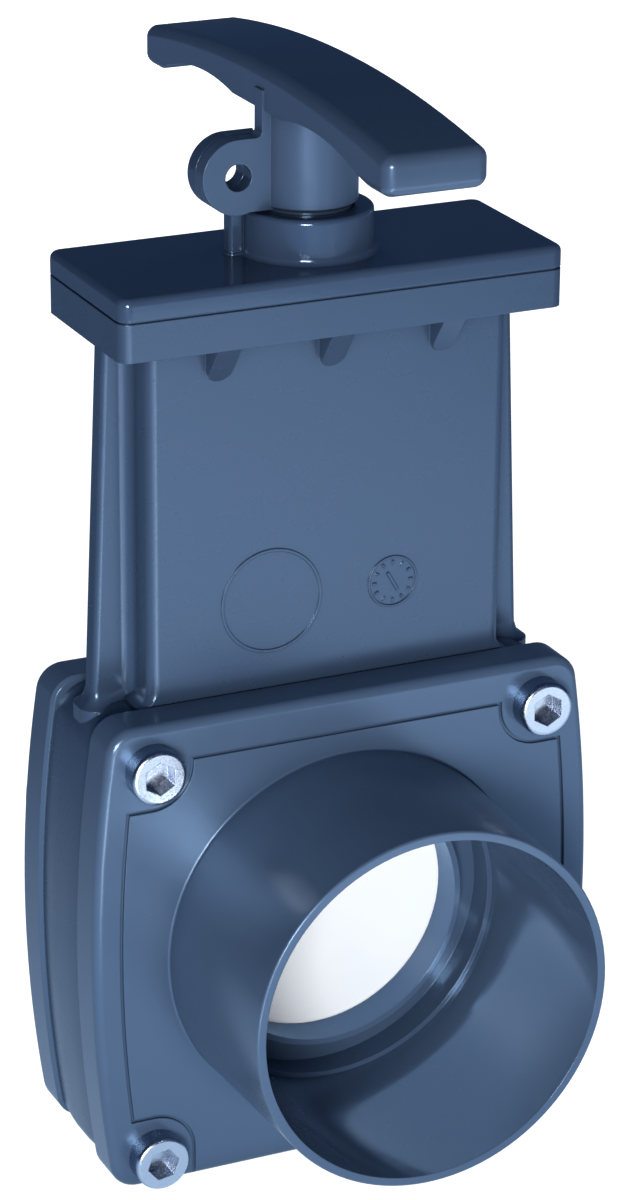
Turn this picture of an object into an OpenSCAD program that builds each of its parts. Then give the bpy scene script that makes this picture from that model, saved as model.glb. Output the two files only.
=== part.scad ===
// Slide valve for glued plastic pressure pipe, shown closed.
// The pipe axis runs along Y, the neck stands up along Z, and the flange feet rest on z = 0.

/* [Pipe] */
// Outside diameter of the pipe that is glued into each socket
pipe_d = 50; // [49:0.5:51]
// Gap between pipe and socket, for the cement
glue_gap = 0.1; // [0.05:0.05:0.2]
// Depth of each socket from its mouth to the pipe stop
socket_depth = 32; // [28:1:36]
// Wall of the socket at its mouth
socket_wall = 1.3; // [1.2:0.1:2]
// Diameter of the clear way through the valve
bore_d = 39; // [37:0.5:40]

/* [Flanges] */
// Width of a flange at its corners
flange_w = 72.2; // [71:0.2:76]
// How far each long side of a flange bulges out
side_bulge = 2.3; // [0.5:0.1:2.5]
// Height of the pipe axis above the flange feet
axis_h = 34.3; // [34:0.1:38]
// Height of a flange above the pipe axis
flange_rise = 36; // [36:0.5:39]
// Thickness of a flange plate
flange_t = 7; // [6:0.5:9]
// Radius of the flange corners
corner_r = 4; // [3:0.5:4.5]
// Rounding of the flange edges on the face
edge_r = 1.3; // [0.8:0.1:2]
// Width of the rim beside the fine groove on the face
rim_w = 3.8; // [3:0.1:4.2]
// Width of the rim above the fine groove on the face
rim_top_w = 5.3; // [4:0.1:6]
// How much smaller the rear flange is at its sides and top
rear_trim = 0.8; // [0:0.1:1.2]

/* [Screws] */
// Distance of each screw from the middle, both ways
screw_pitch = 29.6; // [29:0.1:30]
// Shank diameter of the screws
screw_d = 4; // [3:0.5:4]

/* [Blade] */
// Thickness of the blade
blade_t = 9.2; // [8:0.2:9.6]
// How far the blade reaches past the bore all round
blade_lap = 3; // [2.5:0.1:3.2]
// Running gap between the blade and its guides
blade_gap = 0.1; // [0.05:0.05:0.15]

/* [Bonnet] */
// Thickness of the body and neck between the flanges
body_t = 16; // [15.5:0.5:18]
// Width of the flat panel on the neck
panel_w = 53.9; // [53.3:0.2:54.5]
// Width over the side rails at the top of the neck
rail_top_w = 61.4; // [60.2:0.2:62]
// Width over the side rails at the foot of the neck
rail_foot_w = 65.8; // [64.2:0.2:66.4]
// Thickness of the side rails
rail_t = 3.6; // [3:0.2:5]
// Rounding of the panel's upright edges
panel_r = 1.6; // [1:0.1:1.8]
// Height of the underside of the neck's top flange above the pipe axis
neck_h = 87.4; // [85:0.2:92]
// Width of the top flange and lid
cap_w = 65.6; // [62:0.2:68]
// Depth of the top flange and lid, front to back
cap_d = 26.6; // [24:0.2:28]
// Thickness of the neck's top flange
cap_t = 5.3; // [4:0.1:7]
// Thickness of the lid
lid_t = 3.4; // [3:0.1:5]

/* [Gland and handle] */
// Diameter of the gland collar on the lid
collar_d = 18.3; // [17:0.1:19]
// Height of the gland collar
collar_h = 6.2; // [5:0.1:8]
// Diameter of the stem
stem_d = 8; // [6:0.5:9]
// Diameter of the handle's shank
shank_d = 14; // [13:0.5:15]
// Height from the foot of the shank to the crown of the handle
handle_h = 19.5; // [19:0.2:24]
// Length of the handle
handle_l = 79; // [72:0.5:82]
// Width of the handle
handle_w = 15; // [13:0.5:16]
// Height of the handle's bar at its ends
handle_t = 5.4; // [5:0.2:7]
// Diameter of the padlock hole
lock_d = 3.8; // [3:0.1:4.2]
// Distance of the padlock hole from the stem
lock_x = 11.2; // [11:0.1:13]
// Radius of the two padlock lugs
lug_r = 5.2; // [4.6:0.1:5.4]

/* [Hidden] */
$fn = 64;

body_colour = [0.16, 0.22, 0.34];
lid_colour = [0.10, 0.14, 0.24];
steel_colour = [0.78, 0.80, 0.83];
rubber_colour = [0.05, 0.05, 0.06];
blade_colour = [0.94, 0.94, 0.93];

// Small overlap that keeps cuts clean
eps = 0.01;

// Pipe way
socket_r = pipe_d / 2 + glue_gap;
bore_r = bore_d / 2;
body_y = body_t / 2;
face_y = body_y + flange_t;
stop_y = face_y - 4;
mouth_y = stop_y + socket_depth;

// Blade and the slot that it runs in
blade_r = bore_r + blade_lap;
blade_y = blade_t / 2;
slot_y = blade_y + blade_gap;
slot_r = blade_r + 0.3;
blade_top = blade_r + 17;
pin_r = 1.5;
pin_z = axis_h + blade_top - 4 * pin_r;
travel = bore_r + blade_r + 1;

// Screws
screw_r = screw_d / 2;
head_r = screw_d;
head_h = screw_d * 0.775;
key_w = screw_d * 1.05;
nut_af = screw_d * 1.75;
nut_t = screw_d * 0.8;
hole_r = screw_r + 0.2;
pad_r = head_r + 1.7;

// Heights above the feet
cap_z = axis_h + neck_h;
lid_z = cap_z + cap_t;
lid_top = lid_z + lid_t;
collar_top = lid_top + collar_h;
shank_z = collar_top + 0.4;
crown_z = shank_z + handle_h;
lock_z = shank_z + lug_r - 0.3;

// Neck
rail_y = rail_t / 2;
shoulder_z = axis_h + flange_rise - 1.7;
shoulder_r = 1.75 * corner_r;
cap_r = 1.8;

// Padlock lugs, the rib that carries the front one, and the spigot under the shank
lug_t = 2.5;
lug_gap = 0.25;
rib_x = shank_d / 2 + 0.8;
spigot_r = stem_d / 2 + 2.2;
spigot_h = 0.9;

// Puts a flat outline, drawn in X and Z, between two depths
module between(y0, y1) {
    translate([0, y1, 0]) rotate([90, 0, 0]) linear_extrude(y1 - y0) children();
}

// Round bar along Y, centred on the pipe axis
module round_y(r, y0, y1) {
    translate([0, y1, axis_h]) rotate([90, 0, 0]) cylinder(r = r, h = y1 - y0);
}

// Solid turned about the pipe axis, drawn as radius against the distance to the front
module turned_y() {
    translate([0, 0, axis_h]) rotate([90, 0, 0]) rotate_extrude() children();
}

// Rectangle with round corners, centred on the origin
module rounded_rect(w, h, r) {
    square([w - 2 * r, h], center = true);
    square([w, h - 2 * r], center = true);
    for (sx = [-1, 1], sy = [-1, 1])
        translate([sx * (w / 2 - r), sy * (h / 2 - r)]) circle(r);
}

// Points along an arc
function arc(centre, r, from, to, steps) =
    let (turn = (to - from) / steps)
    [for (i = [0:steps]) centre + r * [cos(from + turn * i), sin(from + turn * i)]];

// Flange outline with bulging sides, round corners and a straight foot: pulled in by inset all round,
// and trimmed at its sides and top
module plate_outline(inset = 0, upper_r = corner_r, lower_r = corner_r, trim = 0) {
    top = axis_h + flange_rise - trim - inset;
    middle = (top + inset) / 2;
    half_h = (top - inset) / 2;
    chord = half_h + inset - corner_r;
    side_r = (pow(chord, 2) + pow(side_bulge, 2)) / (2 * side_bulge);
    centre_x = flange_w / 2 - trim - inset + side_bulge - side_r;
    function corner(r) =
        let (lean = asin((half_h - r) / (side_r - r)))
        [centre_x + (side_r - r) * cos(lean), half_h - r, r, lean];
    up = corner(max(upper_r - inset, 0.4));
    low = corner(max(lower_r - inset, 0.4));
    translate([0, middle]) polygon(concat(
        arc([centre_x, 0], side_r, -low[3], up[3], 24),
        arc([up[0], up[1]], up[2], up[3], 90, 8),
        arc([-up[0], up[1]], up[2], 90, 180 - up[3], 8),
        arc([-centre_x, 0], side_r, 180 - up[3], 180 + low[3], 24),
        arc([-low[0], -low[1]], low[2], 180 + low[3], 270, 8),
        arc([low[0], -low[1]], low[2], 270, 360 - low[3], 8)));
}

// Calls its children at each of the four screws
module at_screws() {
    for (sx = [-1, 1], sz = [-1, 1])
        translate([sx * screw_pitch, 0, axis_h + sz * screw_pitch]) children();
}

// Flange plate, rounded towards the face and barely at the back
module plate(trim) {
    back_r = 0.5;
    hull() {
        for (a = [0:18:90])
            between(-face_y + edge_r * (1 - sin(a)), -body_y - back_r)
                plate_outline(edge_r * (1 - cos(a)), trim = trim);
        between(-face_y + edge_r, -body_y) plate_outline(back_r, trim = trim);
    }
}

// Raised field of the flange face: stays clear of the rim and of the pad round each screw
module field_outline(inset, trim) {
    r = pad_r + inset;
    notch_x = screw_pitch - r;
    difference() {
        union() {
            plate_outline(rim_w + inset, trim = trim);
            translate([-notch_x, -1]) square([2 * notch_x, rim_w + corner_r + 1]);
        }
        translate([-flange_w, axis_h + flange_rise - trim - rim_top_w - inset])
            square([2 * flange_w, flange_w]);
        for (sx = [0, 1], sz = [0, 1])
            translate([0, axis_h]) mirror([sx, 0]) mirror([0, sz])
                translate([screw_pitch, screw_pitch]) {
                    circle(r);
                    translate([-r, 0]) square(flange_w / 2);
                    translate([0, -r]) square(flange_w / 2);
                }
    }
}

// Fine groove that outlines the field
module face_groove(trim) {
    groove_w = 0.5;
    between(-face_y - 1, -face_y + groove_w) difference() {
        field_outline(0, trim);
        field_outline(groove_w, trim);
    }
}

// Outside of the socket, before it is bored: drafted, with a small root fillet and a round lip
module socket_stock() {
    draft = 0.8;
    r = socket_r + socket_wall;
    foot_r = r + draft;
    root_r = 0.35;
    lip_r = 0.35;
    turned_y() polygon(concat(
        [[0, body_y + 1], [foot_r + root_r * (1 - cos(75)), body_y + 1]],
        arc([foot_r + root_r, face_y + root_r], root_r, 255, 180, 4),
        arc([r - lip_r, mouth_y - lip_r], lip_r, 0, 90, 3),
        [[0, mouth_y]]));
}

// Flange with its socket, drawn for the front
module flange(trim = 0) {
    seat_y = slot_y + 0.1;
    difference() {
        union() {
            plate(trim);
            socket_stock();
            round_y(socket_r + 0.6, -body_y - 1, -seat_y);
        }
        face_groove(trim);
        round_y(socket_r, -mouth_y - 1, -stop_y);
        difference() {
            round_y(socket_r - 0.7, -stop_y - eps, -seat_y - 1.8);
            round_y(bore_r + 0.9, -stop_y + 0.8, 0);
        }
        round_y(bore_r, -mouth_y, 0);
        difference() {
            round_y(bore_r + 3.2, -seat_y - 1, 0);
            round_y(bore_r + 1.2, -seat_y - 2, 1);
        }
        at_screws() rotate([90, 0, 0]) cylinder(r = hole_r, h = 4 * face_y, center = true);
    }
}

// Ring seal between a flange and the blade, drawn for the front
module seal() {
    seat_y = slot_y + 0.1;
    difference() {
        round_y(bore_r + 3.15, -seat_y - 1, -blade_y - 0.04);
        round_y(bore_r + 1.25, -face_y, 0);
    }
}

module front_flange() {
    color(body_colour) flange();
}

module rear_flange() {
    color(body_colour) difference() {
        mirror([0, 1, 0]) flange(rear_trim);
        at_screws() translate([0, face_y - nut_t - 0.2, 0]) rotate([-90, 0, 0])
            cylinder(d = (nut_af + 0.2) / cos(30), h = flange_t, $fn = 6);
    }
}

module front_seal() {
    color(rubber_colour) seal();
}

module rear_seal() {
    color(rubber_colour) mirror([0, 1, 0]) seal();
}

// Outline of the blade and of its slot: round below, straight sides up to a height
module blade_outline(r, top) {
    translate([0, axis_h]) {
        circle(r);
        translate([-r, 0]) square([2 * r, top]);
    }
}

// Body between the flanges: barrel-shaped, so that a shallow groove is left beside each flange
module barrel() {
    crown_inset = 0.4;
    side_inset = 1.1;
    hull() for (t = [0.25, 0.5, 0.75, 0.9, 1])
        between(-body_y * t, body_y * t)
            plate_outline(crown_inset + (side_inset - crown_inset) * t * t, shoulder_r, corner_r,
                rear_trim / 2);
}

// Thin level slice of the two rails, widened by flare
module rail_slice(z, flare) {
    edge = 0.9;
    rise = (z - shoulder_z) / (cap_z - shoulder_z);
    width = rail_foot_w + (rail_top_w - rail_foot_w) * max(rise, 0);
    translate([0, 0, z]) linear_extrude(eps)
        rounded_rect(width + 2 * flare, rail_t + 2 * flare, edge + flare);
}

// Side rails of the neck: tapered upwards, with rounded edges and feet that flare into the shoulders
module rails() {
    foot_r = 2.4;
    heights = [-1.6, 0, 0.15, 0.45, 1];
    flares = [0.7, 0.7, 0.45, 0.15, 0];
    for (i = [0:3]) hull() {
        rail_slice(shoulder_z + foot_r * heights[i], foot_r * flares[i]);
        rail_slice(shoulder_z + foot_r * heights[i + 1], foot_r * flares[i + 1]);
    }
    hull() {
        rail_slice(shoulder_z + foot_r, 0);
        rail_slice(cap_z, 0);
    }
}

// One quarter of the panel's level section: rounded edge, then a hollow that runs out on the rail
function panel_quarter() =
    let (half = panel_w / 2, hollow = 1.9)
    concat(arc([half - panel_r, body_y - panel_r], panel_r, 90, 0, 6),
           arc([half + hollow, rail_y + hollow], hollow, 180, 260, 6));

function flip(points, sx, sy) = [for (p = points) [sx * p[0], sy * p[1]]];
function reversed(points) = [for (i = [len(points) - 1:-1:0]) points[i]];

// Flat-faced middle of the neck
module panel() {
    q = panel_quarter();
    translate([0, 0, axis_h]) linear_extrude(neck_h + 1) polygon(concat(
        q, reversed(flip(q, 1, -1)), flip(q, -1, -1), reversed(flip(q, -1, 1))));
}

// Concave run-out at the foot of the panel: along its sides and round its four upright edges
module panel_feet() {
    r = 2;
    top = axis_h + flange_rise - 0.6;
    half = panel_w / 2;
    depth = body_y - panel_r;
    function run_out(x) = concat([[0, top - 2], [x + r * (1 - cos(75)), top - 2]],
        arc([x + r, top + r], r, 255, 183, 6), [[0, top + r]]);
    for (s = [0, 1]) mirror([s, 0, 0]) between(-depth, depth) polygon(run_out(half));
    intersection() {
        for (sx = [-1, 1], sy = [-1, 1]) translate([sx * (half - panel_r), sy * depth, 0])
            rotate_extrude() polygon(run_out(panel_r));
        translate([-flange_w, 0.02 - body_y, 0]) cube([2 * flange_w, 2 * body_y - 0.04, 2 * top]);
    }
}

// Small sloping stays with round tips under the neck's top flange, three on each side
module stays() {
    stay_r = 1.7;
    drop = 5.9;
    reach = 4.4;
    pitch = 16.7;
    for (x = [-pitch, 0, pitch], s = [0, 1]) mirror([0, s, 0]) translate([x, -body_y, cap_z])
        intersection() {
            between(-reach, 1) union() {
                translate([0, stay_r - drop]) circle(stay_r);
                translate([-stay_r, stay_r - drop]) square([2 * stay_r, drop - stay_r + eps]);
            }
            rotate([90, 0, 90]) linear_extrude(3 * stay_r, center = true)
                polygon([[1, -drop - 1], [0, -drop], [-reach, eps], [1, eps]]);
        }
}

// Blank moulded ring and date ring on the panel
module panel_marks() {
    mark_z = shoulder_z + 14.4;
    proud = 0.2;
    y = -body_y - proud;
    translate([-8.7, y, mark_z]) rotate([-90, 0, 0]) difference() {
        cylinder(r = 7.6, h = proud + 1);
        translate([0, 0, -1]) cylinder(r = 7.2, h = 4);
    }
    translate([9.8, y, mark_z]) rotate([-90, 0, 0]) {
        difference() {
            cylinder(r = 3.8, h = proud + 1);
            translate([0, 0, -1]) cylinder(r = 3.5, h = 4);
        }
        for (a = [0:30:330]) rotate(a) translate([2.5, -0.15, 0]) cube([0.6, 0.3, proud + 1]);
        rotate(60) translate([-1.6, -0.2, 0]) cube([3.2, 0.4, proud + 1]);
    }
}

module bonnet() {
    color(body_colour) difference() {
        union() {
            barrel();
            rails();
            panel();
            panel_feet();
            stays();
            panel_marks();
            translate([0, 0, cap_z]) linear_extrude(cap_t) rounded_rect(cap_w, cap_d, cap_r);
        }
        between(-slot_y, slot_y) blade_outline(slot_r, neck_h + cap_t + 1);
        round_y(socket_r + 0.7, -face_y, face_y);
        at_screws() rotate([90, 0, 0]) cylinder(r = hole_r, h = 4 * face_y, center = true);
    }
}

// Lid plate: a fine seam round its foot and a rounded top edge
module lid_plate() {
    seam = 0.35;
    top_r = 1;
    translate([0, 0, lid_z]) linear_extrude(2 * seam)
        rounded_rect(cap_w - 2 * seam, cap_d - 2 * seam, cap_r - seam);
    hull() for (a = [0:15:90]) {
        inset = top_r * (1 - cos(a));
        translate([0, 0, lid_z + seam]) linear_extrude(lid_t - seam - top_r * (1 - sin(a)))
            rounded_rect(cap_w - 2 * inset, cap_d - 2 * inset, cap_r - inset);
    }
}

// Gland collar with a small root fillet and a rounded rim
module collar() {
    r = collar_d / 2;
    root_r = 0.8;
    rim_r = 0.6;
    rotate_extrude() polygon(concat(
        [[0, lid_z + 1], [r + root_r * (1 - cos(75)), lid_z + 1]],
        arc([r + root_r, lid_top + root_r], root_r, 255, 180, 5),
        arc([r - rim_r, collar_top - rim_r], rim_r, 0, 90, 5),
        [[0, collar_top]]));
}

// Padlock lug, drawn in X and Z: a disc that runs straight into the shank
module lug_outline() {
    translate([-lock_x, lock_z]) circle(lug_r);
    translate([-lock_x, shank_z]) square([lock_x, lock_z + lug_r - shank_z]);
}

// Way for the padlock's shackle through both lugs
module padlock_way() {
    translate([-lock_x, 0, lock_z]) rotate([90, 0, 0])
        cylinder(d = lock_d, h = 8 * lug_t, center = true);
}

// Post that carries the lid's lug, with a slightly flared foot
module lug_post() {
    post_w = 2.2;
    edge = 0.6;
    flare = 0.3;
    foot_z = lid_top - 1;
    translate([1 - lock_x, lug_gap + lug_t / 2]) {
        translate([0, 0, foot_z]) linear_extrude(lock_z - foot_z) rounded_rect(post_w, lug_t, edge);
        translate([0, 0, foot_z]) linear_extrude(1 + flare)
            rounded_rect(post_w + 2 * flare, lug_t + 2 * flare, edge + flare);
    }
}

module lid() {
    color(lid_colour) difference() {
        union() {
            lid_plate();
            collar();
            lug_post();
            between(lug_gap, lug_gap + lug_t) lug_outline();
        }
        translate([0, 0, lid_z - 1]) cylinder(r = stem_d / 2 + 0.05, h = lid_t + collar_h + 2);
        for (z = [lid_z + 2, lid_z + 5.4])
            translate([0, 0, z]) cylinder(r = stem_d / 2 + 1.6, h = 1.8);
        translate([0, 0, collar_top - spigot_h]) cylinder(r = spigot_r + 0.3, h = spigot_h + 0.1);
        translate([0, 0, collar_top + 0.1]) cylinder(r = shank_d / 2 + 0.4, h = handle_h);
        padlock_way();
    }
}

// Round rubber ring on the stem, seated in the lid's groove that starts at z
module stem_seal(z) {
    translate([0, 0, z + 0.9]) rotate_extrude() translate([stem_d / 2 + 0.82, 0]) circle(0.76, $fn = 32);
}

module lower_stem_seal() {
    color(rubber_colour) stem_seal(lid_z + 2);
}

module upper_stem_seal() {
    color(rubber_colour) stem_seal(lid_z + 5.4);
}

module blade() {
    color(blade_colour) difference() {
        between(-blade_y, blade_y) blade_outline(blade_r, blade_top);
        translate([0, 0, pin_z - 4 * pin_r]) cylinder(r = stem_d / 2 + 0.02, h = 12 * pin_r);
        translate([0, 0, pin_z]) rotate([0, 90, 0]) cylinder(r = pin_r, h = 3 * blade_r, center = true);
    }
}

module blade_pin() {
    color(steel_colour) translate([0, 0, pin_z]) rotate([0, 90, 0])
        cylinder(r = pin_r - 0.02, h = 2 * blade_r - 2, center = true);
}

module stem() {
    foot_z = pin_z - 4 * pin_r;
    color(steel_colour) difference() {
        translate([0, 0, foot_z]) cylinder(d = stem_d, h = shank_z + handle_h / 2 - foot_z);
        translate([0, 0, pin_z]) rotate([0, 90, 0]) cylinder(r = pin_r, h = 3 * blade_r, center = true);
    }
}

// Bar of the handle before the grips are cut: bowed along its top, with all its edges rounded
module bar_stock() {
    round_r = 1.8;
    drop = 3.3;
    steps = 20;
    end_y = handle_l / 2 - round_r;
    end_z = crown_z - drop - handle_t + round_r;
    bow_r = (pow(handle_l / 2, 2) + pow(drop, 2)) / (2 * drop) - round_r;
    side = asin(end_y / bow_r);
    hull() for (sx = [-1, 1]) translate([sx * (handle_w / 2 - round_r), 0, 0]) {
        for (i = [0:steps]) {
            a = side * (2 * i / steps - 1);
            translate([0, bow_r * sin(a), crown_z - round_r - bow_r * (1 - cos(a))])
                sphere(round_r, $fn = 24);
        }
        for (sy = [-1, 1]) translate([0, sy * end_y, end_z]) sphere(round_r, $fn = 24);
    }
}

// Hollow for the fingers under each half of the bar, and the flat between them round the shank
module grips() {
    grip_r = 0.57 * handle_l;
    grip_y = 0.215 * handle_l;
    grip_top = crown_z - 4.9;
    flat_z = grip_top - 0.9;
    for (sy = [-1, 1]) translate([0, sy * grip_y, grip_top - grip_r]) rotate([0, 90, 0])
        cylinder(r = grip_r, h = 2 * handle_w, center = true, $fn = 180);
    translate([-handle_w, -grip_y, flat_z - handle_h]) cube([2 * handle_w, 2 * grip_y, handle_h]);
}

// Handle: bar with a finger hollow under each half, shank with a rib, and the front padlock lug
module handle() {
    foot_r = 0.5;
    corner = 0.8;
    top_z = crown_z - 3;
    color(body_colour) difference() {
        union() {
            difference() {
                bar_stock();
                grips();
            }
            rotate_extrude() polygon([[0, shank_z - spigot_h + 0.2], [spigot_r, shank_z - spigot_h + 0.2],
                [spigot_r, shank_z], [shank_d / 2 - foot_r, shank_z], [shank_d / 2, shank_z + foot_r],
                [shank_d / 2, top_z], [0, top_z]]);
            translate([-rib_x, -lug_t, shank_z]) cube([rib_x, lug_t, top_z - shank_z]);
            between(-lug_t, 0) lug_outline();
            between(-lug_t, 0) translate([-rib_x - corner, lock_z + lug_r - eps]) difference() {
                square(corner + eps);
                translate([0, corner + eps]) circle(corner);
            }
        }
        translate([0, 0, shank_z - 1]) cylinder(r = stem_d / 2 + 0.02, h = handle_h / 2 + 1);
        padlock_way();
    }
}

// Pan head screw with a hexagon socket, along Y with its head to the front
module screw(sx, sz) {
    edge = 0.15 * screw_d;
    key_d = key_w / cos(30);
    key_turn = 20 + 10 * sz;
    head_y = face_y + head_h;
    color(steel_colour) translate([sx * screw_pitch, 0, axis_h + sz * screw_pitch]) rotate([90, 0, 0])
        difference() {
            union() {
                rotate_extrude() polygon(concat([[0, face_y], [head_r, face_y]],
                    arc([head_r - edge, head_y - edge], edge, 0, 90, 5), [[0, head_y]]));
                translate([0, 0, -face_y + 0.1]) cylinder(r = screw_r, h = 2 * face_y);
            }
            translate([0, 0, face_y + 0.2 * head_h]) rotate(key_turn)
                cylinder(d = key_d, h = screw_d, $fn = 6);
        }
}

module nut(sx, sz) {
    tip_r = nut_af / 2 / cos(30);
    chamfer = 0.1 * nut_t;
    color(steel_colour) translate([sx * screw_pitch, face_y - 0.2, axis_h + sz * screw_pitch])
        rotate([90, 0, 0]) difference() {
            intersection() {
                cylinder(r = tip_r, h = nut_t, $fn = 6);
                rotate_extrude() polygon([[0, 0], [tip_r - 2 * chamfer, 0], [tip_r + eps, chamfer],
                    [tip_r + eps, nut_t], [0, nut_t]]);
            }
            translate([0, 0, -1]) cylinder(r = screw_r + 0.02, h = nut_t + 2);
        }
}

front_flange();
rear_flange();
bonnet();
lid();
front_seal();
rear_seal();
lower_stem_seal();
upper_stem_seal();
blade();
blade_pin();
stem();
handle();
screw(-1, 1);  // screw_upper_left
screw(1, 1);  // screw_upper_right
screw(-1, -1);  // screw_lower_left
screw(1, -1);  // screw_lower_right
nut(-1, 1);  // nut_upper_left
nut(1, 1);  // nut_upper_right
nut(-1, -1);  // nut_lower_left
nut(1, -1);  // nut_lower_right
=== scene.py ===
"""Looks, light and camera for a slide valve in a glued pond pipe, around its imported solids."""

import logging
import math
from dataclasses import dataclass
from enum import Enum
from functools import cache
from typing import Callable, Optional, Union

import bpy
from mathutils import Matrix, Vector

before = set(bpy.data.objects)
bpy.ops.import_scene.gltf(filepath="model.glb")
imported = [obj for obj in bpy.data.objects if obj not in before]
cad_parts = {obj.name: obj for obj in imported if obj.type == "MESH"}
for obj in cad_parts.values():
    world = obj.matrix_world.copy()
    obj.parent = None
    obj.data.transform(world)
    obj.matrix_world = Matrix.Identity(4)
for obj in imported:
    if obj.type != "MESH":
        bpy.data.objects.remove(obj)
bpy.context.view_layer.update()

Colour = tuple[float, float, float]
Triple = tuple[float, float, float]
Range = tuple[float, float]
Value = Union[float, bpy.types.NodeSocket]

LOG = logging.getLogger("slide_valve")
MM = 0.001
WHITE: Colour = (1.0, 1.0, 1.0)

# Places of the colour sockets on a Mix node.
MIX_MASK, MIX_FIRST, MIX_SECOND, MIX_RESULT = 0, 6, 7, 2


class Slot(Enum):
    """Material slots of the record."""

    BODY = "body_plastic"
    LID = "lid_plastic"
    HANDLE = "handle_plastic"
    SEAL = "seal_rubber"
    BLADE = "blade_plastic"
    STEEL = "screw_steel"


class Flow(Enum):
    """How a noise is stretched along the direction in which a surface was drawn."""

    NONE = (1.0, 1.0, 1.0)
    UPWARD = (1.0, 1.0, 0.06)


@dataclass(frozen=True)
class Noise:
    """Recipe of a noise texture.

    Attributes:
        scale: Cells to the metre.
        detail: Number of octaves.
        roughness: Weight of the finer octaves.
        cut: Part of the noise that is spread over the range from 0 to 1.
    """

    scale: float
    detail: float
    roughness: float
    cut: Range = (0.3, 0.7)


SINK_WAVES = Noise(38.0, 1.0, 0.4)
FINE_GRAIN = Noise(2600.0, 2.0, 0.55)
CLOUDS = Noise(95.0, 4.0, 0.6)
HAIRLINES = Noise(900.0, 3.0, 0.7, cut=(0.66, 0.74))
SCUFF_PATCHES = Noise(60.0, 2.0, 0.5, cut=(0.5, 0.65))
DUST_SPECKS = Noise(1500.0, 2.0, 0.6, cut=(0.62, 0.72))
STEEL_LINES = Noise(2200.0, 3.0, 0.6)

HAIRLINE_STRETCH: Triple = (1.0, 1.0, 0.12)
HAIRLINE_TURN: Triple = (0.3, 0.5, 0.2)
LEVEL_FACES: Range = (0.6, 1.0)
EDGE_SAMPLES = 6
EDGE_BEND: Range = (0.995, 0.75)
RECESS_SAMPLES = 8
RECESS_OPENNESS: Range = (0.3, 0.95)


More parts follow.
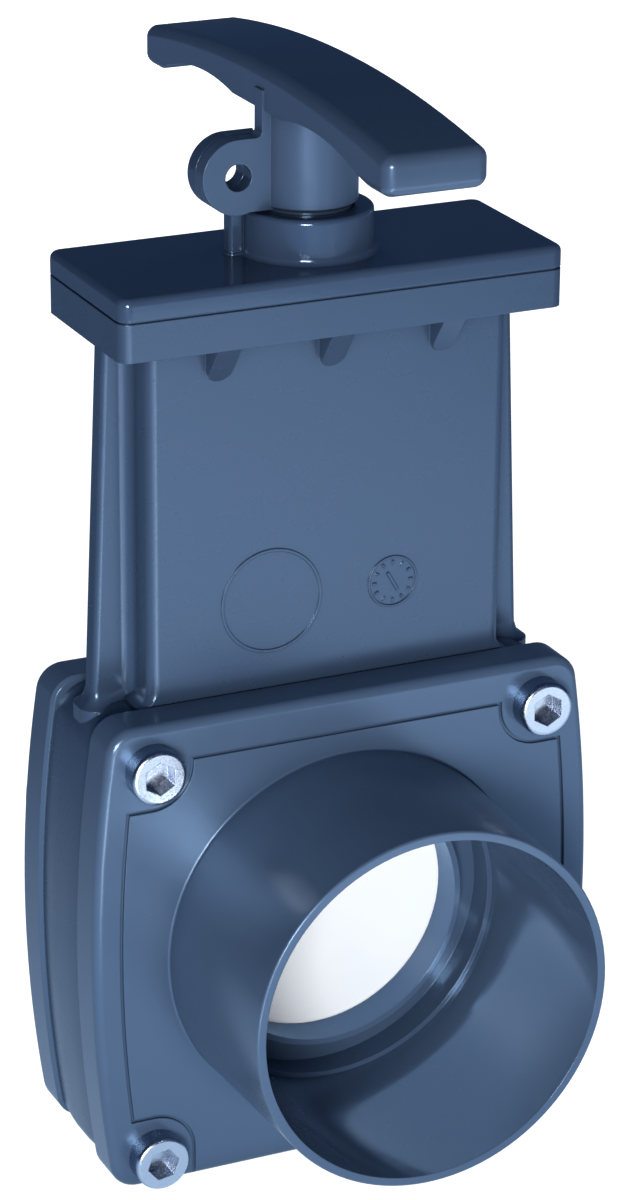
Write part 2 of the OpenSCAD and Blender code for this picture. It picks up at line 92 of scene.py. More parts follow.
@dataclass
class Wiring:
    """Small helper that adds and links nodes in one node tree."""

    tree: bpy.types.NodeTree

    def add(self, kind: str, **settings: object) -> bpy.types.Node:
        """Adds one node.

        Args:
            kind: Type name of the node.
            **settings: Attributes that are set on the node.

        Returns:
            The new node.
        """
        node = self.tree.nodes.new(kind)
        for name, value in settings.items():
            setattr(node, name, value)
        return node

    def feed(self, socket: bpy.types.NodeSocket, value: object) -> None:
        """Links a socket into another one, or sets it where a plain value is given.

        Args:
            socket: The input to fill.
            value: Another node's output, a number, a colour or a vector.
        """
        if isinstance(value, bpy.types.NodeSocket):
            self.tree.links.new(value, socket)
        else:
            socket.default_value = value

    def maths(self, operation: str, *inputs: Value) -> bpy.types.NodeSocket:
        """Adds a Math node.

        Args:
            operation: Name of the operation.
            *inputs: Its one to three inputs.

        Returns:
            The result.
        """
        node = self.add("ShaderNodeMath", operation=operation)
        for socket, value in zip(node.inputs, inputs):
            self.feed(socket, value)
        return node.outputs[0]

    def noise(self, place: Value, recipe: Noise) -> bpy.types.NodeSocket:
        """Adds a noise texture.

        Args:
            place: Coordinates that it reads.
            recipe: Its scale and detail.

        Returns:
            The noise, before its cut.
        """
        node = self.add("ShaderNodeTexNoise")
        self.feed(node.inputs["Vector"], place)
        self.feed(node.inputs["Scale"], recipe.scale)
        self.feed(node.inputs["Detail"], recipe.detail)
        self.feed(node.inputs["Roughness"], recipe.roughness)
        return node.outputs["Fac"]

    def spread(
        self, value: Value, low: Value, high: Value, to_low: Value = 0.0, to_high: Value = 1.0
    ) -> bpy.types.NodeSocket:
        """Maps one range of values onto another and clamps the result.

        Args:
            value: The value to map.
            low: Start of the first range.
            high: End of the first range.
            to_low: Start of the second range.
            to_high: End of the second range.

        Returns:
            The mapped value.
        """
        node = self.add("ShaderNodeMapRange")
        for socket, number in zip(node.inputs, (value, low, high, to_low, to_high)):
            self.feed(socket, number)
        return node.outputs[0]

    def cut_noise(self, place: Value, recipe: Noise) -> bpy.types.NodeSocket:
        """Adds a noise texture and spreads its cut from 0 to 1."""
        return self.spread(self.noise(place, recipe), *recipe.cut)

    def tint(self, mask: Value, first: object, second: object) -> bpy.types.NodeSocket:
        """Blends two colours.

        Args:
            mask: 0 gives the first colour and 1 the second.
            first: The first colour.
            second: The second colour.

        Returns:
            The blended colour.
        """
        node = self.add("ShaderNodeMix", data_type="RGBA")
        self.feed(node.inputs[MIX_MASK], mask)
        self.feed(node.inputs[MIX_FIRST], first)
        self.feed(node.inputs[MIX_SECOND], second)
        return node.outputs[MIX_RESULT]

    def place(self) -> bpy.types.NodeSocket:
        """Gives the place on the solid, in metres."""
        return self.add("ShaderNodeTexCoord").outputs["Object"]

    def normal(self) -> bpy.types.NodeSocket:
        """Gives the surface's normal, with its smooth shading."""
        return self.add("ShaderNodeNewGeometry").outputs["Normal"]

    def part(self, vector: bpy.types.NodeSocket) -> bpy.types.NodeOutputs:
        """Splits a vector into its parts.

        Args:
            vector: The vector to split.

        Returns:
            Its X, Y and Z.
        """
        node = self.add("ShaderNodeSeparateXYZ")
        self.feed(node.inputs[0], vector)
        return node.outputs

    def relief(
        self, height: Value, depth: float, strength: float, normal: Optional[Value] = None
    ) -> bpy.types.NodeSocket:
        """Adds a Bump node.

        Args:
            height: Height over the surface.
            depth: What a height of 1 stands for, in metres.
            strength: Share of the relief that shows.
            normal: The normal to start from, where it isn't the surface's own.

        Returns:
            The normal with the relief in it.
        """
        node = self.add("ShaderNodeBump")
        self.feed(node.inputs["Strength"], strength)
        self.feed(node.inputs["Distance"], depth)
        self.feed(node.inputs["Height"], height)
        if normal is not None:
            self.feed(node.inputs["Normal"], normal)
        return node.outputs[0]

    def show(self, shader: bpy.types.Node, output: str = "ShaderNodeOutputMaterial") -> None:
        """Links a shader to the output of the material or world."""
        self.feed(self.add(output).inputs["Surface"], shader.outputs[0])


@dataclass(frozen=True)
class Socket:
    """One named socket of a node group."""

    name: str
    kind: str
    value: object = None


@dataclass(frozen=True)
class Effect:
    """A shader node group that several materials share."""

    name: str
    inputs: tuple[Socket, ...]
    outputs: tuple[Socket, ...]
    draw: Callable[[Wiring, bpy.types.Node, bpy.types.Node], None]

    def group(self) -> bpy.types.NodeTree:
        """Builds the group once and gives it again later.

        Returns:
            The node group.
        """
        found = bpy.data.node_groups.get(self.name)
        if found:
            return found
        tree = bpy.data.node_groups.new(self.name, "ShaderNodeTree")
        for sockets, way in ((self.inputs, "INPUT"), (self.outputs, "OUTPUT")):
            for socket in sockets:
                made = tree.interface.new_socket(socket.name, in_out=way, socket_type=socket.kind)
                if socket.value is not None:
                    made.default_value = socket.value
        wiring = Wiring(tree)
        self.draw(wiring, wiring.add("NodeGroupInput"), wiring.add("NodeGroupOutput"))
        return tree

    def place(self, wiring: Wiring, **values: object) -> bpy.types.Node:
        """Puts the group into a material.

        Args:
            wiring: The material's node tree.
            **values: What goes into each input.

        Returns:
            The group node.
        """
        node = wiring.add("ShaderNodeGroup", node_tree=self.group())
        for name, value in values.items():
            wiring.feed(node.inputs[name], value)
        return node


FLOAT, VECTOR = "NodeSocketFloat", "NodeSocketVector"


def draw_grain(w: Wiring, given: bpy.types.Node, out: bpy.types.Node) -> None:
    """Draws the moulded skin: broad sink waves, a fine grain and cloudy mottling.

    Args:
        w: Wiring of the group.
        given: The group's input node.
        out: The group's output node.
    """
    place = w.place()
    tall = w.maths("MULTIPLY", w.noise(place, SINK_WAVES), given.outputs["Waves"])
    fine = w.noise(place, FINE_GRAIN)
    w.feed(out.inputs["Height"], w.maths("MULTIPLY_ADD", fine, given.outputs["Grain"], tall))
    w.feed(out.inputs["Clouds"], w.cut_noise(place, CLOUDS))


def draw_edges(w: Wiring, given: bpy.types.Node, out: bpy.types.Node) -> None:
    """Draws softened edges: a rounded normal, and a mask that is 1 on the edges.

    Args:
        w: Wiring of the group.
        given: The group's input node.
        out: The group's output node.
    """
    soft = w.add("ShaderNodeBevel", samples=EDGE_SAMPLES)
    w.feed(soft.inputs["Radius"], given.outputs["Radius"])
    meet = w.add("ShaderNodeVectorMath", operation="DOT_PRODUCT")
    w.feed(meet.inputs[0], soft.outputs[0])
    w.feed(meet.inputs[1], w.normal())
    w.feed(out.inputs["Normal"], soft.outputs[0])
    w.feed(out.inputs["Edge"], w.spread(meet.outputs["Value"], *EDGE_BEND))


def draw_handling(w: Wiring, given: bpy.types.Node, out: bpy.types.Node) -> None:
    """Draws signs of handling: hairline scuffs, and dust that gathers on level faces.

    Args:
        w: Wiring of the group.
        given: The group's input node.
        out: The group's output node.
    """
    place = w.place()
    amount = given.outputs["Amount"]
    drawn = w.add("ShaderNodeMapping")
    w.feed(drawn.inputs["Vector"], place)
    w.feed(drawn.inputs["Scale"], HAIRLINE_STRETCH)
    w.feed(drawn.inputs["Rotation"], HAIRLINE_TURN)
    lines = w.cut_noise(drawn.outputs[0], HAIRLINES)
    scuffs = w.maths("MULTIPLY", lines, w.cut_noise(place, SCUFF_PATCHES))
    w.feed(out.inputs["Scuff"], w.maths("MULTIPLY", scuffs, amount))
    level = w.spread(w.part(w.normal())["Z"], *LEVEL_FACES)
    dust = w.maths("MULTIPLY", level, w.cut_noise(place, DUST_SPECKS))
    w.feed(out.inputs["Dust"], w.maths("MULTIPLY", dust, amount))


def draw_polish(w: Wiring, given: bpy.types.Node, out: bpy.types.Node) -> None:
    """Draws a mask that is 1 inside a level bore along Y and 0 outside it.

    Args:
        w: Wiring of the group.
        given: The group's input node.
        out: The group's output node.
    """
    part = w.part(w.place())
    rise = w.maths("SUBTRACT", part["Z"], given.outputs["Height"])
    level = w.maths("MULTIPLY", part["X"], part["X"])
    away = w.maths("SQRT", w.maths("MULTIPLY_ADD", rise, rise, level))
    w.feed(out.inputs["Inside"], w.maths("LESS_THAN", away, given.outputs["Radius"]))


def draw_painted_recess_shade(w: Wiring, given: bpy.types.Node, out: bpy.types.Node) -> None:
    """Draws a mask of painted shade from ambient occlusion: 0 on open faces, up to 1 in grooves,
    corners and gaps.

    Args:
        w: Wiring of the group.
        given: The group's input node.
        out: The group's output node.
    """
    near = w.add("ShaderNodeAmbientOcclusion", samples=RECESS_SAMPLES)
    w.feed(near.inputs["Distance"], given.outputs["Reach"])
    w.feed(out.inputs["Depth"], w.spread(near.outputs["AO"], *RECESS_OPENNESS, 1.0, 0.0))


GRAIN = Effect(
    "moulded_grain",
    (Socket("Waves", FLOAT, 0.5), Socket("Grain", FLOAT, 0.05)),
    (Socket("Height", FLOAT), Socket("Clouds", FLOAT)),
    draw_grain,
)
EDGES = Effect(
    "soft_edges",
    (Socket("Radius", FLOAT, 0.2 * MM),),
    (Socket("Normal", VECTOR), Socket("Edge", FLOAT)),
    draw_edges,
)
HANDLING = Effect(
    "handling_marks",
    (Socket("Amount", FLOAT, 0.5),),
    (Socket("Scuff", FLOAT), Socket("Dust", FLOAT)),
    draw_handling,
)
POLISH = Effect(
    "polished_bore",
    (Socket("Height", FLOAT, 0.0), Socket("Radius", FLOAT, 10.0 * MM)),
    (Socket("Inside", FLOAT),),
    draw_polish,
)
# Painted shade in recesses, from ambient occlusion.
PAINTED_RECESS_SHADE = Effect(
    "painted_recess_shade",
    (Socket("Reach", FLOAT, 5.0 * MM),),
    (Socket("Depth", FLOAT),),
    draw_painted_recess_shade,
)


def rgba(colour: Colour, factor: float = 1.0) -> tuple[float, float, float, float]:
    """Gives a colour with alpha, made lighter or darker by a factor.

    Args:
        colour: Linear red, green and blue.
        factor: What each of them is multiplied by.

    Returns:
        The colour as four numbers.
    """
    return (*(min(1.0, part * factor) for part in colour), 1.0)


def blank_material(name: str) -> tuple[bpy.types.Material, Wiring]:
    """Makes a material with an empty node tree.

    Args:
        name: Name of the material.

    Returns:
        The material, and the wiring of its nodes.
    """
    material = bpy.data.materials.new(name)
    material.use_nodes = True
    material.node_tree.nodes.clear()
    return material, Wiring(material.node_tree)


@dataclass(frozen=True)
class MouldedPlastic:
    """Moulded rigid plastic with a satin skin.

    Attributes:
        name: Name of the material.
        colour: Colour of the plastic.
        roughness: Roughness of its outer skin.
        specular: Level of its gloss.
        gloss_tint: Colour of its gloss.
        ior: Index of refraction.
        variation: How much darker and lighter its clouds are.
        waves: Height of the sink waves.
        grain: Height of the fine grain.
        relief: Depth that a height of 1 stands for.
        relief_strength: Share of that relief that shows.
        marks: Amount of scuffs and dust.
        edge_radius: Radius of a softened edge.
        edge_lift: How much lighter an edge is, partly as wear and partly as a painted highlight.
        edge_cover: Share of that lightening that shows.
        recess_reach: How near the walls of a recess are that count for the painted shade.
        recess_tone: How dark the painted shade in the deepest recess is.
        recess_shade: Share of that painted shade that shows.
        dust: Colour of the dust.
        dust_cover: Share of the dust that shows.
        dull_scuffs: What a scuff adds to the roughness.
        dull_clouds: What a cloud adds to the roughness.
        bore_height: Height of the axis of a smooth bore along the pipe.
        bore_radius: Radius of that bore, 0 where there is none.
        bore_roughness: Roughness of its wall.
        mirrored: Painted reflection: colour in which other surfaces mirror the piece, where it
            isn't its own.
    """

    name: str
    colour: Colour
    roughness: float
    specular: float = 1.0
    gloss_tint: Colour = (0.5, 0.72, 1.0)
    ior: float = 1.5
    variation: float = 0.03
    waves: float = 0.5
    grain: float = 0.05
    relief: float = 0.2 * MM
    relief_strength: float = 0.5
    marks: float = 0.15
    edge_radius: float = 0.18 * MM
    edge_lift: float = 1.25
    edge_cover: float = 0.6
    recess_reach: float = 4.5 * MM
    recess_tone: float = 0.2
    recess_shade: float = 0.75
    dust: Colour = (0.45, 0.46, 0.47)
    dust_cover: float = 0.25
    dull_scuffs: float = 0.15
    dull_clouds: float = 0.05
    bore_height: float = 0.0
    bore_radius: float = 0.0
    bore_roughness: float = 0.07
    mirrored: Optional[Colour] = None

    def build(self) -> bpy.types.Material:
        """Makes the material.

        Returns:
            The new material.
        """
        material, w = blank_material(self.name)
        shader = w.add("ShaderNodeBsdfPrincipled")
        shader.inputs["Specular IOR Level"].default_value = self.specular
        shader.inputs["Specular Tint"].default_value = rgba(self.gloss_tint)
        shader.inputs["IOR"].default_value = self.ior
        grain = GRAIN.place(w, Waves=self.waves, Grain=self.grain).outputs
        edges = EDGES.place(w, Radius=self.edge_radius).outputs
        marks = HANDLING.place(w, Amount=self.marks).outputs
        pigment = self.pigment(w, grain["Clouds"], edges["Edge"], marks["Dust"])
        w.feed(shader.inputs["Base Color"], pigment)
        w.feed(shader.inputs["Roughness"], self.skin(w, grain["Clouds"], marks["Scuff"]))
        soft = w.relief(grain["Height"], self.relief, self.relief_strength, edges["Normal"])
        w.feed(shader.inputs["Normal"], soft)
        w.show(shader)
        return material

    def pigment(self, w: Wiring, clouds: Value, edge: Value, dust: Value) -> bpy.types.NodeSocket:
        """Mixes the colour of the surface, with painted shade in recesses and, where set, a painted
        reflection colour.

        Args:
            w: Wiring of the material.
            clouds: Mask of the lighter clouds.
            edge: Mask of the edges.
            dust: Mask of the dust.

        Returns:
            The colour.
        """
        dark, light = rgba(self.colour, 1 - self.variation), rgba(self.colour, 1 + self.variation)
        mottled = w.tint(clouds, dark, light)
        # Lighter edges: partly wear, partly a painted highlight.
        worn_and_highlit = w.maths("MULTIPLY", edge, self.edge_cover)
        lifted = w.tint(worn_and_highlit, mottled, rgba(self.colour, self.edge_lift))
        # Painted shade: ambient occlusion darkens the colour in grooves, corners and gaps.
        recesses = PAINTED_RECESS_SHADE.place(w, Reach=self.recess_reach)
        sunk = w.maths("MULTIPLY", recesses.outputs["Depth"], self.recess_shade)
        shaded = w.tint(sunk, lifted, rgba(self.colour, self.recess_tone))
        dusty = w.tint(w.maths("MULTIPLY", dust, self.dust_cover), shaded, rgba(self.dust))
        if self.mirrored is None:
            return dusty
        # Painted reflection: glossy rays see the piece in the mirrored colour, not its own.
        glossy = w.add("ShaderNodeLightPath").outputs["Is Glossy Ray"]
        return w.tint(glossy, dusty, rgba(self.mirrored))

    def skin(self, w: Wiring, clouds: Value, scuff: Value) -> bpy.types.NodeSocket:
        """Mixes the roughness of the surface.

        Args:
            w: Wiring of the material.
            clouds: Mask of the lighter clouds.
            scuff: Mask of the scuffs.

        Returns:
            The roughness.
        """
        bore = POLISH.place(w, Height=self.bore_height, Radius=self.bore_radius)
        skin = w.spread(bore.outputs["Inside"], 0.0, 1.0, self.roughness, self.bore_roughness)
        scuffed = w.maths("MULTIPLY_ADD", scuff, self.dull_scuffs, skin)
        return w.maths("MULTIPLY_ADD", clouds, self.dull_clouds, scuffed)


@dataclass(frozen=True)
class BrightSteel:
    """Bright stainless steel with fine turning or drawing lines.

    Attributes:
        name: Name of the material.
        colour: Colour of the steel.
        roughness: Roughness between its lines.
        flow: Direction of its lines.
        walls: Painted shade and dark reflection: colour of the faces that don't look along the
            pipe, where it isn't the same.
        wall_turn: Range over which a face turns from wall to end.
        line_tones: How dark and how light the lines are.
        line_dullness: What the lines take from the roughness and add to it.
        marks: Amount of scuffs.
        dull_scuffs: What a scuff adds to the roughness.
        edge_radius: Radius of a softened edge.
        relief: Depth of the lines.
        relief_strength: Share of that relief that shows.
    """

    name: str
    colour: Colour
    roughness: float
    flow: Flow
    walls: Optional[Colour] = None
    wall_turn: Range = (0.3, 0.9)
    line_tones: Range = (0.88, 1.06)
    line_dullness: Range = (-0.06, 0.08)
    marks: float = 0.6
    dull_scuffs: float = 0.2
    edge_radius: float = 0.15 * MM
    relief: float = 0.02 * MM
    relief_strength: float = 0.25

    def build(self) -> bpy.types.Material:
        """Makes the material.

        Returns:
            The new material.
        """
        material, w = blank_material(self.name)
        shader = w.add("ShaderNodeBsdfPrincipled")
        shader.inputs["Metallic"].default_value = 1.0
        stretch = w.add("ShaderNodeMapping")
        w.feed(stretch.inputs["Vector"], w.place())
        w.feed(stretch.inputs["Scale"], self.flow.value)
        lines = w.noise(stretch.outputs[0], STEEL_LINES)
        edges = EDGES.place(w, Radius=self.edge_radius).outputs
        marks = HANDLING.place(w, Amount=self.marks).outputs
        w.feed(shader.inputs["Base Color"], self.tone(w, lines))
        rough = [self.roughness + change for change in self.line_dullness]
        dull = w.spread(lines, *STEEL_LINES.cut, *rough)
        scuffed = w.maths("MULTIPLY_ADD", marks["Scuff"], self.dull_scuffs, dull)
        w.feed(shader.inputs["Roughness"], scuffed)
        soft = w.relief(lines, self.relief, self.relief_strength, edges["Normal"])
        w.feed(shader.inputs["Normal"], soft)
        w.show(shader)
        return material

    def tone(self, w: Wiring, lines: Value) -> bpy.types.NodeSocket:
        """Mixes the colour of the steel.

        Args:
            w: Wiring of the material.
            lines: The lines, from 0 to 1.

        Returns:
            The colour.
        """
        dark, light = (rgba(self.colour, factor) for factor in self.line_tones)
        lined = w.tint(lines, dark, light)
        if self.walls is None:
            return lined
        # Painted shade and dark reflection: the head's sides and socket walls get a darker colour
        # than its ends.
        facing = w.maths("ABSOLUTE", w.part(w.normal())["Y"])
        return w.tint(w.spread(facing, *self.wall_turn), rgba(self.walls), lined)


@dataclass(frozen=True)
class SealRubber:
    """Black moulded rubber with a dull bloom.

    Attributes:
        name: Name of the material.
        colour: Colour of the rubber.
        roughness: Roughness of its skin.
        bloom: How much lighter its clouds are.
        dull_clouds: What a cloud adds to the roughness.
        waves: Height of the broad waves.
        grain: Height of the fine grain.
        relief: Depth that a height of 1 stands for.
        relief_strength: Share of that relief that shows.
    """

    name: str
    colour: Colour
    roughness: float
    bloom: float = 1.8
    dull_clouds: float = 0.12
    waves: float = 0.2
    grain: float = 0.15
    relief: float = 0.1 * MM
    relief_strength: float = 1.0

    def build(self) -> bpy.types.Material:
        """Makes the material.

        Returns:
            The new material.
        """
        material, w = blank_material(self.name)
        shader = w.add("ShaderNodeBsdfPrincipled")
        grain = GRAIN.place(w, Waves=self.waves, Grain=self.grain).outputs
        bloomed = w.tint(grain["Clouds"], rgba(self.colour), rgba(self.colour, self.bloom))
        w.feed(shader.inputs["Base Color"], bloomed)
        dull = w.maths("MULTIPLY_ADD", grain["Clouds"], self.dull_clouds, self.roughness)
        w.feed(shader.inputs["Roughness"], dull)
        soft = w.relief(grain["Height"], self.relief, self.relief_strength)
        w.feed(shader.inputs["Normal"], soft)
        w.show(shader)
        return material


Finish = Union[MouldedPlastic, BrightSteel, SealRubber]


@cache
def material_of(finish: Finish) -> bpy.types.Material:
    """Makes the material of a finish once and gives it again later."""
    return finish.build()


@cache
def smooth_by_angle(angle: float) -> bpy.types.NodeTree:
    """Gives the geometry nodes that shade a mesh smooth, with sharp edges from an angle on.

    Args:
        angle: Smallest angle of a sharp edge, in degrees.

    Returns:
        The node group, made once for each angle.
    """
    tree = bpy.data.node_groups.new(f"smooth_by_angle_{angle:g}", "GeometryNodeTree")
    for way in ("INPUT", "OUTPUT"):
        tree.interface.new_socket("Geometry", in_out=way, socket_type="NodeSocketGeometry")
    w = Wiring(tree)
    faces = w.add("GeometryNodeSetShadeSmooth", domain="FACE")
    w.feed(faces.inputs["Geometry"], w.add("NodeGroupInput").outputs[0])
    edges = w.add("GeometryNodeSetShadeSmooth", domain="EDGE")
    w.feed(edges.inputs["Geometry"], faces.outputs[0])
    turned = w.add("GeometryNodeInputMeshEdgeAngle").outputs["Unsigned Angle"]
    gentle = w.add("FunctionNodeCompare", data_type="FLOAT", operation="LESS_EQUAL")
    w.feed(gentle.inputs["A"], turned)
    w.feed(gentle.inputs["B"], math.radians(angle))
    w.feed(edges.inputs["Shade Smooth"], gentle.outputs[0])
    w.feed(w.add("NodeGroupOutput").inputs[0], edges.outputs[0])
    return tree


@dataclass(frozen=True)
class Coat:
    """A finish, its slot in the record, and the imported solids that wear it."""

    finish: Finish
    slot: Slot
    nodes: tuple[str, ...]


@dataclass
class Assembly:
    """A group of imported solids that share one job, and how they are dressed.

    Attributes:
        title: What the log calls the group.
        coats: The finishes of its solids.
        smooth_angle: Smallest angle of an edge that stays sharp, in degrees.
        weld_reach: Distance up to which two points of a mesh are one.
        flat_angle: Angle up to which neighbouring faces are one flat face, in degrees.
        flat_weight: How firmly large flat faces keep their own normal.
    """

    title: str
    coats: tuple[Coat, ...]
    smooth_angle: float = 32.0
    weld_reach: float = 0.002 * MM
    flat_angle: float = 0.3
    flat_weight: int = 90

    def dress(self) -> None:
        """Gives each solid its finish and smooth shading."""
        for coat in self.coats:
            for node in coat.nodes:
                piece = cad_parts[node]
                piece.data.materials.clear()
                piece.data.materials.append(material_of(coat.finish))
                self.smooth(piece)
                LOG.info("%s: %s dressed in %s", self.title, node, coat.finish.name)

    def smooth(self, piece: bpy.types.Object) -> None:
        """Smooths a solid's shading up to the set angle, and keeps its flat faces flat.

        Args:
            piece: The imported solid.
        """
        weld = piece.modifiers.new("join_edges", "WELD")
        weld.merge_threshold = self.weld_reach
        planes = piece.modifiers.new("join_flat_faces", "DECIMATE")
        planes.decimate_type = "DISSOLVE"
        planes.angle_limit = math.radians(self.flat_angle)
        smooth = piece.modifiers.new("smooth_by_angle", "NODES")
        smooth.node_group = smooth_by_angle(self.smooth_angle)
        weigh = piece.modifiers.new("keep_faces_flat", "WEIGHTED_NORMAL")
        weigh.keep_sharp = True
        weigh.weight = self.flat_weight


BODY_FINISH = MouldedPlastic("body_satin_plastic", (0.040, 0.067, 0.121), 0.25)
# Painted light: the flanges wear a lighter copy of the body's plastic, standing in for the brighter
# light low near the floor.
FLANGE_LIGHTER_FINISH = MouldedPlastic(
    "flange_plastic_painted_lighter",
    (0.064, 0.104, 0.178),
    0.22,
    recess_shade=0.45,
    bore_height=34.3 * MM,
    bore_radius=25.5 * MM,
)
LID_FINISH = MouldedPlastic("lid_gloss_plastic", (0.039, 0.064, 0.117), 0.1, recess_shade=0.45)
HANDLE_FINISH = MouldedPlastic("handle_satin_plastic", (0.052, 0.084, 0.145), 0.2)
BLADE_FINISH = MouldedPlastic(
    "blade_white_plastic",
    (0.93, 0.95, 0.97),
    0.3,
    specular=0.5,
    gloss_tint=WHITE,
    variation=0.01,
    edge_lift=1.0,
    recess_shade=0.0,
    # Painted reflection: other surfaces mirror the white blade in blue.
    mirrored=(0.50, 0.70, 0.97),
)
SCREW_FINISH = BrightSteel(
    "screw_turned_steel", (0.66, 0.69, 0.74), 0.25, Flow.NONE, walls=(0.24, 0.29, 0.38)
)
STEM_FINISH = BrightSteel("stem_drawn_steel", (0.62, 0.66, 0.72), 0.24, Flow.UPWARD)
SEAL_FINISH = SealRubber("seal_black_rubber", (0.02, 0.02, 0.022), 0.6)

CORNERS = ("upper_left", "upper_right", "lower_left", "lower_right")


@dataclass
class ValveBody(Assembly):
    """The two flanges with their sockets, the middle body with its neck, and the flat seals."""

    title: str = "valve body"
    coats: tuple[Coat, ...] = (
        Coat(FLANGE_LIGHTER_FINISH, Slot.BODY, ("front_flange", "rear_flange")),
        Coat(BODY_FINISH, Slot.BODY, ("bonnet",)),
        Coat(SEAL_FINISH, Slot.SEAL, ("front_seal", "rear_seal")),
    )


@dataclass
class Gland(Assembly):
    """The lid with its collar and padlock lug, and the two rings on the stem."""

    title: str = "gland"
    coats: tuple[Coat, ...] = (
        Coat(LID_FINISH, Slot.LID, ("lid",)),
        Coat(SEAL_FINISH, Slot.SEAL, ("lower_stem_seal", "upper_stem_seal")),
    )


@dataclass
class LiftingGear(Assembly):
    """The handle, stem, pin and blade, which move together."""

    title: str = "lifting gear"
    coats: tuple[Coat, ...] = (
        Coat(HANDLE_FINISH, Slot.HANDLE, ("handle",)),
        Coat(STEM_FINISH, Slot.STEEL, ("stem", "blade_pin")),
        Coat(BLADE_FINISH, Slot.BLADE, ("blade",)),
    )


@dataclass
class Fasteners(Assembly):
    """Four pan head screws with hexagon sockets, and their nuts."""

    title: str = "fasteners"
    coats: tuple[Coat, ...] = (
        Coat(SCREW_FINISH, Slot.STEEL, tuple(f"screw_{corner}" for corner in CORNERS)),
        Coat(SCREW_FINISH, Slot.STEEL, tuple(f"nut_{corner}" for corner in CORNERS)),
    )


def area_lamp(name: str, width: float, length: float, energy: float) -> bpy.types.Object:
    """Adds a rectangular lamp that the camera doesn't see.

    Args:
        name: Name of the lamp.
        width: Its first side, in metres.
        length: Its second side, in metres.
        energy: Its power in watts.

    Returns:
        The lamp, at the origin.
    """
    data = bpy.data.lights.new(name, "AREA")
    data.shape = "RECTANGLE"
    data.size = width
    data.size_y = length
    data.energy = energy
    lamp = bpy.data.objects.new(name, data)
    lamp.visible_camera = False
    bpy.context.scene.collection.objects.link(lamp)
    return lamp


@dataclass(frozen=True)
class Lamp:
    """A soft square lamp that looks at a point.

    Attributes:
        name: Name of the lamp.
        azimuth: Its direction from the target, from the front towards the right, in degrees.
        elevation: Its angle above the target, in degrees.
        level: How bright a white face that is turned to it looks, where 1 is white.
        mirrored: Whether glossy faces mirror it.
        distance: How far it stands from the target.
        size: Length of its side.
        target: The point that it looks at.
    """

    name: str
    azimuth: float
    elevation: float
    level: float
    mirrored: bool = True
    distance: float = 1.1
    size: float = 0.3
    target: Triple = (0.0, 0.0, 0.07)

    def build(self) -> None:
        """Makes the lamp."""
        energy = self.level * (math.pi * self.distance) ** 2
        lamp = area_lamp(self.name, self.size, self.size, energy)
        lamp.visible_glossy = self.mirrored
        turn, rise = math.radians(self.azimuth), math.radians(self.elevation)
        reach = math.cos(rise)
        away = Vector((math.sin(turn) * reach, -math.cos(turn) * reach, math.sin(rise)))
        lamp.location = Vector(self.target) + away * self.distance
        lamp.rotation_euler = away.to_track_quat("Z", "Y").to_euler()


@dataclass(frozen=True)
class FloorStrip:
    """A soft lamp that lies on the floor in front of the valve and shines upward.

    Attributes:
        name: Name of the lamp.
        place: Its middle.
        turn: Its turn on the floor, in degrees.
        width: Its side across.
        length: Its side away from the valve.
        brightness: How bright the lamp itself looks, where 1 is white.
    """

    name: str
    place: Triple
    turn: float
    width: float
    length: float
    brightness: float

    def build(self) -> None:
        """Makes the lamp."""
        energy = self.brightness * math.pi * self.width * self.length
        lamp = area_lamp(self.name, self.width, self.length, energy)
        lamp.location = self.place
        lamp.rotation_euler = (math.pi, 0.0, math.radians(self.turn))


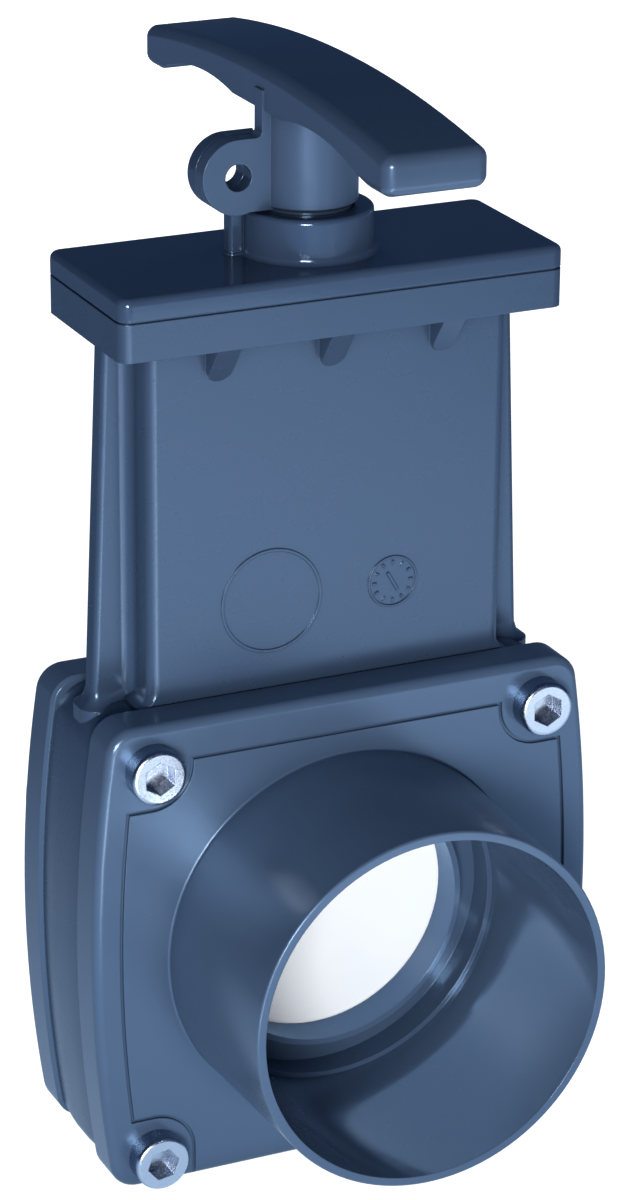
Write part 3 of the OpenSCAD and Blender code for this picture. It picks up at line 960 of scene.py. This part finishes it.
@dataclass(frozen=True)
class Studio:
    """A floor and surroundings that look white, a dim room in mirrored rays, and soft lamps.

    Attributes:
        floor_size: Side of the floor.
        floor_albedo: How light the floor is for the light that falls on the valve.
        mirrored_floor: Its colour in mirrored rays.
        floor_glow: What makes the floor white to the eye.
        sheet_middle: Middle of the pale sheet on the floor that glossy faces mirror.
        sheet_reach: Distances from there at which the sheet starts to fade and ends.
        sheet_tint: Colour of the sheet in mirrored rays.
        dim: Glow that is left beyond the sheet.
        room: Colour of the room in mirrored rays.
        fill: Even light from all around.
        lamps: The lamps.
    """

    floor_size: float = 12.0
    floor_albedo: float = 0.5
    mirrored_floor: Colour = (0.10, 0.18, 0.36)
    floor_glow: float = 0.95
    sheet_middle: Triple = (0.0, -0.2, 0.0)
    sheet_reach: Range = (0.16, 0.40)
    sheet_tint: Colour = (0.58, 0.77, 1.0)
    dim: float = 0.05
    room: Colour = (0.02, 0.045, 0.11)
    fill: Colour = (0.045, 0.06, 0.09)
    lamps: tuple[Union[Lamp, FloorStrip], ...] = (
        Lamp("front_lamp", azimuth=-26.0, elevation=8.0, level=0.98),
        Lamp("rear_lamp", azimuth=175.0, elevation=7.0, level=0.85, mirrored=False),
        Lamp("side_lamp", azimuth=110.0, elevation=7.0, level=0.45, mirrored=False),
        FloorStrip("floor_strip", (-0.048, -0.24, 0.002), 4.0, 0.04, 0.26, brightness=6.0),
        FloorStrip("floor_panel", (0.0, -0.28, 0.001), 0.0, 0.34, 0.28, brightness=0.7),
    )

    def build(self) -> None:
        """Makes the floor, the surroundings and the lamps."""
        self.floor()
        self.surroundings()
        for lamp in self.lamps:
            lamp.build()
            LOG.info("studio: %s", lamp.name)

    def seen_directly(self, w: Wiring) -> bpy.types.NodeSocket:
        """Gives a mask of the rays that see the studio itself, straight, mirrored or through glass.

        Args:
            w: Wiring of the material or world.

        Returns:
            1 for those rays and 0 for the light that falls on the valve.
        """
        path = w.add("ShaderNodeLightPath").outputs
        mirrored = w.maths("MAXIMUM", path["Is Glossy Ray"], path["Is Transmission Ray"])
        return w.maths("MAXIMUM", path["Is Camera Ray"], mirrored)

    def floor(self) -> None:
        """Makes the floor, which keeps the valve's soft shadow."""
        half = self.floor_size / 2
        corners = [(-half, -half, 0), (half, -half, 0), (half, half, 0), (-half, half, 0)]
        mesh = bpy.data.meshes.new("floor")
        mesh.from_pydata(corners, [], [(0, 1, 2, 3)])
        mesh.materials.append(self.floor_material())
        plane = bpy.data.objects.new("floor", mesh)
        bpy.context.scene.collection.objects.link(plane)
        LOG.info("studio: floor")

    def floor_material(self) -> bpy.types.Material:
        """Makes the floor's material: matt for light, white to the eye, a pale sheet in mirrors.

        Returns:
            The new material.
        """
        material, w = blank_material("floor_white")
        path = w.add("ShaderNodeLightPath").outputs
        straight, glossy = path["Is Camera Ray"], path["Is Glossy Ray"]
        matt = w.add("ShaderNodeBsdfDiffuse")
        albedo = rgba(WHITE, self.floor_albedo)
        w.feed(matt.inputs["Color"], w.tint(glossy, albedo, rgba(self.mirrored_floor)))
        away = w.add("ShaderNodeVectorMath", operation="DISTANCE")
        w.feed(away.inputs[0], w.place())
        w.feed(away.inputs[1], self.sheet_middle)
        sheet = w.spread(away.outputs["Value"], *self.sheet_reach, 1.0, self.dim)
        shown = w.maths("MULTIPLY", self.seen_directly(w), w.maths("MAXIMUM", straight, sheet))
        glow = w.add("ShaderNodeEmission")
        w.feed(glow.inputs["Strength"], w.maths("MULTIPLY", shown, self.floor_glow))
        w.feed(glow.inputs["Color"], w.tint(straight, rgba(self.sheet_tint), rgba(WHITE)))
        both = w.add("ShaderNodeAddShader")
        w.feed(both.inputs[0], matt.outputs[0])
        w.feed(both.inputs[1], glow.outputs[0])
        w.show(both)
        return material

    def surroundings(self) -> None:
        """Makes the world: white to the eye, a dim room in mirrored rays, and a low even fill."""
        world = bpy.data.worlds.new("studio")
        bpy.context.scene.world = world
        world.use_nodes = True
        w = Wiring(world.node_tree)
        w.tree.nodes.clear()
        mirrored = w.add("ShaderNodeLightPath").outputs["Is Glossy Ray"]
        shown = w.add("ShaderNodeBackground")
        w.feed(shown.inputs["Color"], w.tint(mirrored, rgba(WHITE), rgba(self.room)))
        fill = w.add("ShaderNodeBackground")
        w.feed(fill.inputs["Color"], rgba(self.fill))
        mix = w.add("ShaderNodeMixShader")
        w.feed(mix.inputs[0], self.seen_directly(w))
        w.feed(mix.inputs[1], fill.outputs[0])
        w.feed(mix.inputs[2], shown.outputs[0])
        w.show(mix, "ShaderNodeOutputWorld")
        LOG.info("studio: surroundings")


@dataclass(frozen=True)
class Viewpoint:
    """The camera: a long lens a little above the valve and to its left.

    Attributes:
        place: Where it stands.
        turn: Its turn about X, Y and Z, in degrees.
        field_of_view: Angle that it sees from top to bottom, in degrees.
        nearest: Distance from which it sees.
    """

    place: Triple = (-0.221869, -0.480061, 0.286067)
    turn: Triple = (68.6016, -0.3835, -24.8079)
    field_of_view: float = 16.8972
    nearest: float = 0.01

    def build(self) -> None:
        """Makes the camera and sets it as the scene's."""
        data = bpy.data.cameras.new("viewpoint")
        data.angle = math.radians(self.field_of_view)
        data.clip_start = self.nearest
        camera = bpy.data.objects.new("viewpoint", data)
        bpy.context.scene.collection.objects.link(camera)
        camera.location = self.place
        camera.rotation_euler = [math.radians(angle) for angle in self.turn]
        bpy.context.scene.camera = camera
        LOG.info("viewpoint: camera")


def main() -> None:
    """Dresses the valve and sets up its studio."""
    logging.basicConfig(level=logging.INFO, format="%(name)s: %(message)s")
    for assembly in (ValveBody(), Gland(), LiftingGear(), Fasteners()):
        assembly.dress()
    Studio().build()
    Viewpoint().build()
    bpy.context.scene.view_settings.view_transform = "Standard"


if __name__ == "__main__":
    main()
